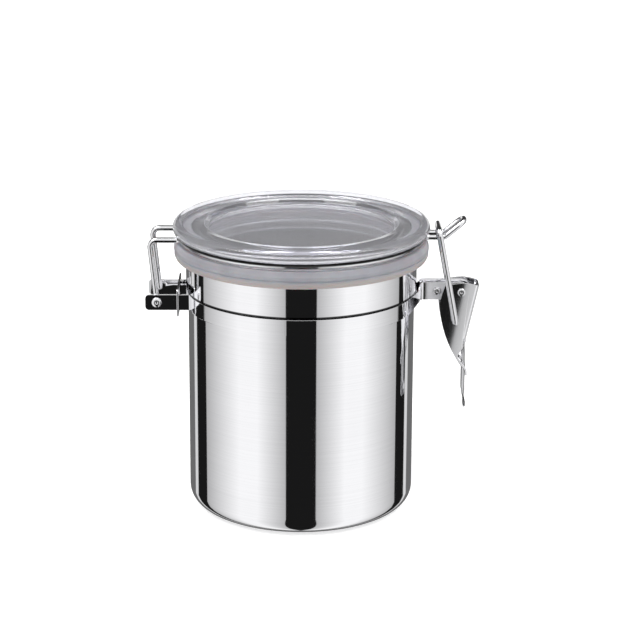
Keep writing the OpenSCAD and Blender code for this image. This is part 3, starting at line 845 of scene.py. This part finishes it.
# %% Cut the tie plate
tie_low, tie_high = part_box("hinge_tie_plate")
tie_x = (tie_low.x + tie_high.x) / 2 / MM
tie_size = (tie_high - tie_low) / MM
clear_selection()
bpy.ops.mesh.primitive_plane_add(size=1, rotation=(0, math.pi / 2, 0))
bpy.ops.transform.resize(value=(1, tie_size.y * MM, tie_size.z * MM))
start_piece("tie_plate_cut")
bpy.ops.transform.translate(value=(tie_x * MM, 0, hinge.z * MM))
slot_half, slot_z = STRAP_T / 2 + GAP, (strap_high - strap_low) / 2 + GAP
for y in (-hinge_ear_y - slot_half, -hinge_ear_y + slot_half,
          hinge_ear_y - slot_half, hinge_ear_y + slot_half):
    select_everything()
    bpy.ops.mesh.bisect(plane_co=(0, y * MM, 0), plane_no=(0, 1, 0))
for z in (hinge.z - slot_z, hinge.z + slot_z):
    select_everything()
    bpy.ops.mesh.bisect(plane_co=(0, 0, z * MM), plane_no=(0, 0, 1))
pick("FACE", lambda co, f: abs(abs(co.y / MM) - hinge_ear_y) < slot_half
     and abs(co.z / MM - hinge.z) < slot_z)
bpy.ops.mesh.delete(type="FACE")
pick("VERT", lambda co, v: abs(co.y) > (tie_size.y / 2 - NEAR) * MM
     and abs(co.z / MM - hinge.z) > tie_size.z / 2 - NEAR)
bpy.ops.mesh.bevel(offset=0.9 * MM, segments=4, affect="VERTICES")
gauge(tie_size.x, 0.1)
tie_plate = finish_piece("canister", ["hinge_tie_plate"], smooth_below=30)
wear(tie_plate, strap_steel)

# %% [markdown]
# ## The lever
# The lever is a channel: two flanges joined by a web that faces away from the cup, drawn to a
# point, with a finger tab below. Seen from the side, its belly is a long bow. The side outline is
# traced, filled and extruded across, and of the faces round its edge only the web is kept; the folds
# are then bevelled while the sheet still has no thickness, which rounds them as a press brake does.

# %% The side outline of the lever, about its pin
LEVER_T = 0.8
flange_y = lever_y - LEVER_T / 2
BELLY_R = 44
point, shoulder = Vector((-1.75, 0, -25.5)), Vector((-8.1, 0, -3.8))
heel, web_low = Vector((6.7 - LEVER_T / 2, 0, 2.4)), Vector((2.2 - LEVER_T / 2, 0, -18.1))


def bow(start, end, radius, steps):
    """Points of an arc from start to end in the plane y = 0, bulging towards -X."""
    half_way, chord = (start + end) / 2, end - start
    side = Vector((chord.z, 0, -chord.x)).normalized()
    centre = half_way - side * math.sqrt(radius ** 2 - (chord.length / 2) ** 2)
    spoke = start - centre
    turn = 2 * math.asin(chord.length / 2 / radius)
    return [centre + Vector((spoke.x * math.cos(a) - spoke.z * math.sin(a), 0,
                             spoke.x * math.sin(a) + spoke.z * math.cos(a)))
            for a in (turn * i / steps for i in range(steps + 1))]


belly = bow(shoulder, point, BELLY_R, 20)
curl = [point + Vector((x, 0, z)) for x, z in
        ((1.0, -1.7), (2.0, -3.2), (3.0, -4.2), (3.5, -5.0), (3.7, -6.1), (3.72, -7.1), (4.4, -7.1),
         (4.45, -5.9), (4.2, -4.5), (3.4, -3.3), (2.5, -2.2), (1.4, -0.8), (0.75, 0.4), (1.25, 1.5),
         (2.1, 2.9), (3.0, 4.5))]
top = [Vector((x, 0, z)) for x, z in
       ((5.0, 2.9), (3.2, 3.35), (0.9, 3.6), (-1.2, 3.5), (-3, 3.2), (-6.1, 2.7))]
side = belly + curl + [web_low, heel] + top + [shoulder]
print("belly bulges to", round(min(p.x for p in belly), 2), "mm from the pin")

# %% Trace and extrude the lever, and leave only its flanges and its web
draw_line("lever_pressed", [pin + p + Vector((0, -flange_y, 0)) for p in side])
weld()
bpy.ops.mesh.edge_face_add()
bpy.ops.mesh.extrude_region_move(TRANSFORM_OT_translate={"value": (0, 2 * flange_y * MM, 0)})
web_middle = (pin + (heel + web_low) / 2) * MM
pick("FACE", lambda co, f: abs(f.normal.y) < 0.5 and (co - web_middle).length > 2 * MM)
bpy.ops.mesh.delete(type="FACE")
print("flanges", round(2 * flange_y, 2), "mm apart")

# %% Draw the finger tab out of the web
TAB_W = 7.4
pick("EDGE", lambda co, e: abs(co.y) < 0.1 * MM and (co - (pin + web_low) * MM).length < 0.2 * MM)
tab_line = [web_low] + [Vector((x, 0, z)) for x, z in (
    (1.35, -20.4), (1.1, -23.9), (1.2, -31.7), (1.2, -37.4), (1.25, -39.4), (1.6, -41.6), (1.95, -43.4),
    (1.95, -45.7))]
narrower = (TAB_W - 0.1) / (2 * flange_y)
for here, there in zip(tab_line, tab_line[1:]):
    bpy.ops.mesh.extrude_region_move(TRANSFORM_OT_translate={"value": (there - here) * MM})
    if here is web_low:
        bpy.ops.transform.resize(value=(1, narrower, 1), center_override=(pin + there) * MM)
print("tab", TAB_W, "mm wide, ends", round(-tab_line[-1].z, 1), "mm below the pin")

# %% Press a shallow rib down the tab, and round its end
RIB_Y, RIB_LOW, RIB_TOP = 1.9, pin.z - 40, pin.z - 22
tab_top, tab_end = pin.z - 20.4, pin.z - 45.6
for y in (-RIB_Y, 0, RIB_Y):
    pick("FACE", lambda co, f: co.z < tab_top * MM and abs(co.y) < TAB_W / 2 * MM)
    bpy.ops.mesh.bisect(plane_co=(0, y * MM, 0), plane_no=(0, 1, 0))
for y, out in ((0, 0.6), (RIB_Y, 0.45), (-RIB_Y, 0.45)):
    pick("VERT", lambda co, v: abs(co.y - y * MM) < NEAR * MM and RIB_LOW * MM < co.z < RIB_TOP * MM)
    bpy.ops.transform.translate(value=(out * MM, 0, 0))
pick("VERT", lambda co, v: co.z < tab_end * MM and abs(co.y) > 3.5 * MM)
bpy.ops.mesh.bevel(offset=1.5 * MM, segments=6, affect="VERTICES")
print("rib", round(RIB_TOP - RIB_LOW, 1), "mm long")

# %% Round the folds, then give the lever its gauge and its holes
pick("EDGE", lambda co, e: abs(abs(co.y) - flange_y * MM) < NEAR * MM
     and (co - web_middle - Vector((0, co.y, 0))).length < 1 * MM)
bpy.ops.mesh.bevel(offset=1.0 * MM, segments=5, affect="EDGES")
point_outwards()
gauge(LEVER_T, 0.12)
for joint, hole in ((pin, 2.3), (bail_pivot, 2.42)):
    drill(joint.x, joint.z, hole)
point_outwards()
lever = finish_piece("lever", ["latch_lever"], smooth_below=25)
wear(lever, lever_steel)

# %% [markdown]
# ## Studio
# Polished steel shows the room, so the room is part of the finish. The canister stands on a plain
# pale floor under two soft overhead panels. Round it all is a round tent that only mirrors see.
# Low down the cloth is dark in front, white at the sides and dark again towards the back, which
# gives the cup its upright black bands: a ramp over the angle from the front says where each ends.
# High up it is white in front and dark behind, and a white strip stands behind the canister. The
# floor is hidden from mirrors, so that they see the tent below it too, where its dark front
# spreads. Where the camera or the clear lid looks at the floor it glows a little, which makes it
# white and keeps its shadow. The world is plain white behind it all, and dimmer as a lamp than as a
# backdrop, so that the background is white while the light on the object stays level.

# %% Floor
FLOOR_GLOW = 0.45
clear_selection()
bpy.ops.mesh.primitive_plane_add(size=6, location=(0, 0, cup_low.z - 0.2 * MM))
floor = bpy.context.object
floor.name = "floor"
floor.visible_glossy = False
paper = Finish("floor_paper", Roughness=0.9, Emission_Strength=1.0)
grain = paper.noise(paper.place, scale=400, detail=2)
paper.feed(Base_Color=paper.ramp(grain, [(0.3, (0.90, 0.90, 0.90)), (0.7, (0.94, 0.94, 0.94))]))
paper.feed(Emission_Color=(paper.ray("Camera") + paper.ray("Transmission")) * FLOOR_GLOW)
wear(floor, paper)
print("floor at", round(floor.location.z / MM, 2), "mm")

# %% The tent's bands: brightness by the angle from the front in degrees, low down and high up
LOW_BANDS = [(0, 0.01), (15, 0.01), (15.5, 0.5), (45, 1.0), (65, 1.0), (112.5, 0.45), (113, 0.01),
             (132.5, 0.01), (133, 0.7), (140, 0.7), (141, 0.15), (180, 0.15)]
HIGH_BANDS = [(0, 1.0), (80, 1.0), (105, 0.3), (125, 0.05), (180, 0.05)]
HIGH_FROM, SPREAD_BELOW = (0.16, 0.34), 0.9
STRIP_LOW, STRIP_HIGH = (-0.35, -0.25), (0.45, 0.35)
STRIP_BACK = (0.61, 0.69)  # in half turns from the front
print("tent bands:", len(LOW_BANDS), "low and", len(HIGH_BANDS), "high")

# %% The tent that the steel reflects
clear_selection()
bpy.ops.mesh.primitive_uv_sphere_add(segments=64, ring_count=32, radius=2.4)
tent = bpy.context.object
tent.name = "tent"
tent.visible_camera = tent.visible_diffuse = tent.visible_shadow = tent.visible_transmission = False
cloth = Finish("tent_cloth", Roughness=1.0, Emission_Strength=1.0, Base_Color=(0, 0, 0, 1),
               Specular_IOR_Level=0.0)
height = cloth.axis("Z")
spread = (height + SPREAD_BELOW).at_most(0) * 0.5
towards = cloth.axis("Y") * -1 - spread
turn = abs(cloth.axis("X")).maths("ARCTAN2", towards) * (1 / math.pi)
bands = [cloth.ramp(turn, [(angle / 180, (s, s, s)) for angle, s in tier])
         for tier in (LOW_BANDS, HIGH_BANDS)]
banded = cloth.mix(cloth.fade(height, *HIGH_FROM), *bands)
strip = cloth.fade(height, *STRIP_LOW) * cloth.fade(height, *STRIP_HIGH) * cloth.fade(turn, *STRIP_BACK)
cloth.feed(Emission_Color=cloth.mix(strip, banded, (1, 1, 1, 1)))
wear(tent, cloth)
print("tent radius", round(tent.dimensions.x / 2, 2), "m")

# %% Two overhead panels, turned towards the middle of the canister
AIM, PANEL_SIZE, PANEL_POWER = Vector((0, 0, 0.05)), 0.7, 7
for word, across_x in (("left", -0.6), ("right", 0.6)):
    place = Vector((across_x, -0.3, 1.1))
    bpy.ops.object.light_add(type="AREA", location=place)
    lamp = bpy.context.object
    lamp.name = "overhead_" + word
    lamp.rotation_euler = (AIM - place).to_track_quat("-Z", "Y").to_euler()
    lamp.data.size, lamp.data.energy = PANEL_SIZE, PANEL_POWER
    print(lamp.name, "of", lamp.data.energy, "W")


# %% The world: white to look at, dimmer as a lamp
class Sky(Finish):
    """The world's nodes, made and fed as a material's are."""

    def __init__(self, world):
        world.use_nodes = True
        self.tree = world.node_tree
        self.shader = self.tree.nodes["Background"]


AS_LAMP, AS_BACKDROP = 0.55, 1.0
world = bpy.data.worlds.new("studio")
bpy.context.scene.world = world
sky = Sky(world)
sky.shader.inputs["Color"].default_value = (1, 1, 1, 1)
looked_at = sky.ray("Camera").at_least(sky.ray("Glossy").at_least(sky.ray("Transmission")))
sky.feed(Strength=sky.node("ShaderNodeMapRange", {}, {
    "Value": looked_at, "To Min": AS_LAMP, "To Max": AS_BACKDROP}))
print("world nodes:", len(sky.tree.nodes))

bpy.context.scene.view_settings.view_transform = "Standard"
